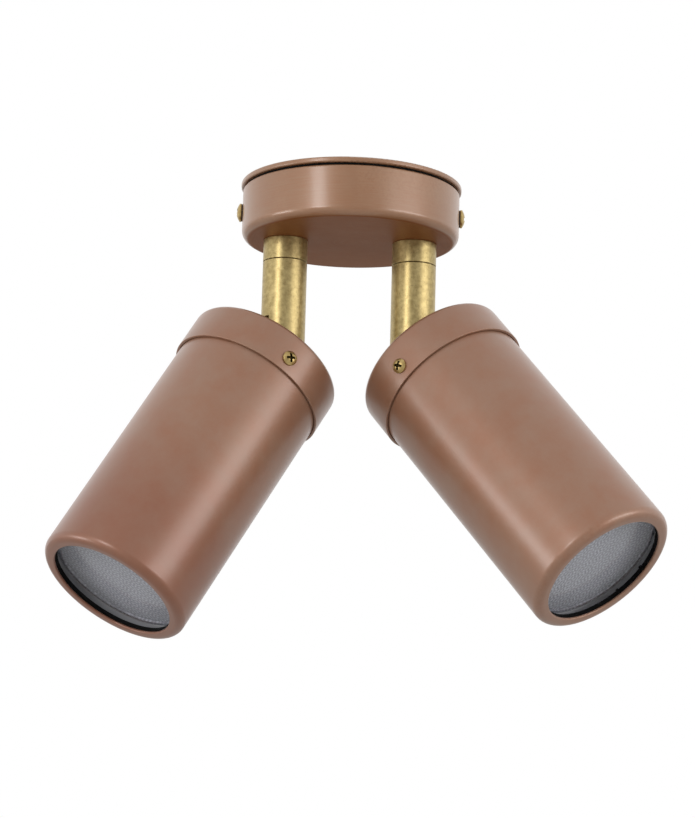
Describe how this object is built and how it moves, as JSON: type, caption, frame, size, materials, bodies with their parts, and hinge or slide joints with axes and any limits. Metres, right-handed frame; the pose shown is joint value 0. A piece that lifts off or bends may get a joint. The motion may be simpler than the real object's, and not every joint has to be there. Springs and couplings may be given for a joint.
{
  "type": "twin spotlight wall light",
  "caption": "Round canopy with paired swivelling stems, each ending in a fork that tilts a cylinder spotlight head with an overlapping back cap and a glass front.",
  "frame": {"origin": "centre of the back plate's mounting face", "axes": "+Z out of the mounting face into the wall, X along the line of the two stems, -Y towards the side that the heads are turned to; the heads hang towards -Z"},
  "size_m": [0.2432, 0.1284, 0.1946],
  "materials": {
    "satin_copper": "copper sheet, satin, faintly mottled, lightly aged",
    "raw_brass": "unlacquered turned brass, mottled and slightly tarnished",
    "bright_brass": "plain brass screw stock",
    "steel": "plain stainless steel sheet and pins",
    "black_spring_steel": "blackened spring steel",
    "black_rubber": "matt black silicone rubber",
    "nylon": "natural nylon",
    "lead_sleeve": "glass fibre sleeved silicone leads",
    "clear_glass": "clear toughened glass",
    "frosted_diffuser": "finely textured grey translucent diffuser",
    "lamp_shell": "white reflector lamp body with plated pins",
    "holder_ceramic": "unglazed ceramic"
  },
  "bodies": {
    "base": {"back_plate": "satin_copper", "cable_grommet": "black_rubber", "canopy": "satin_copper", "canopy_leads": "lead_sleeve", "canopy_lugs": "steel", "canopy_screw_seals": "black_rubber", "canopy_screws": "bright_brass", "earth_terminal": "bright_brass", "left_stem_collar": "raw_brass", "plate_gasket": "black_rubber", "right_stem_collar": "raw_brass", "terminal_block": "nylon", "terminal_clamps": "bright_brass"},
    "left_head": {"left_can": "satin_copper", "left_cap": "satin_copper", "left_cap_screws": "bright_brass", "left_diffuser": "frosted_diffuser", "left_head_leads": "lead_sleeve", "left_knuckle": "raw_brass", "left_knuckle_nut": "raw_brass", "left_knuckle_seal": "black_rubber", "left_lamp": "lamp_shell", "left_lampholder": "holder_ceramic", "left_lampholder_bracket": "steel", "left_lens": "clear_glass", "left_lens_gasket": "black_rubber", "left_retaining_ring": "black_spring_steel"},
    "left_swivel": {"left_pivot_screw": "bright_brass", "left_stem": "raw_brass", "left_stem_leads": "lead_sleeve", "left_stop_pin": "steel", "left_swivel_nut": "raw_brass", "left_swivel_seal": "black_rubber", "left_swivel_tube": "raw_brass", "left_swivel_washer": "steel", "left_tilt_washers": "nylon"},
    "right_head": {"right_can": "satin_copper", "right_cap": "satin_copper", "right_cap_screws": "bright_brass", "right_diffuser": "frosted_diffuser", "right_head_leads": "lead_sleeve", "right_knuckle": "raw_brass", "right_knuckle_nut": "raw_brass", "right_knuckle_seal": "black_rubber", "right_lamp": "lamp_shell", "right_lampholder": "holder_ceramic", "right_lampholder_bracket": "steel", "right_lens": "clear_glass", "right_lens_gasket": "black_rubber", "right_retaining_ring": "black_spring_steel"},
    "right_swivel": {"right_pivot_screw": "bright_brass", "right_stem": "raw_brass", "right_stem_leads": "lead_sleeve", "right_stop_pin": "steel", "right_swivel_nut": "raw_brass", "right_swivel_seal": "black_rubber", "right_swivel_tube": "raw_brass", "right_swivel_washer": "steel", "right_tilt_washers": "nylon"}
  },
  "joints": [
    {"name": "left_pan", "type": "hinge", "parent": "base", "child": "left_swivel", "pos_m": [-0.0267, 0, -0.0332], "axis": [0, 0, 1], "range_deg": [-85.3, 14.7]},
    {"name": "left_tilt", "type": "hinge", "parent": "left_swivel", "child": "left_head", "pos_m": [-0.0267, 0, -0.0642], "axis": [-0.5779, 0.8161, 0], "range_deg": [-4.2, 55.8]},
    {"name": "right_pan", "type": "hinge", "parent": "base", "child": "right_swivel", "pos_m": [0.0267, 0, -0.0332], "axis": [0, 0, 1], "range_deg": [-13.7, 86.3]},
    {"name": "right_tilt", "type": "hinge", "parent": "right_swivel", "child": "right_head", "pos_m": [0.0267, 0, -0.0642], "axis": [-0.592, -0.8059, 0], "range_deg": [-12.1, 47.9]}
  ]
}
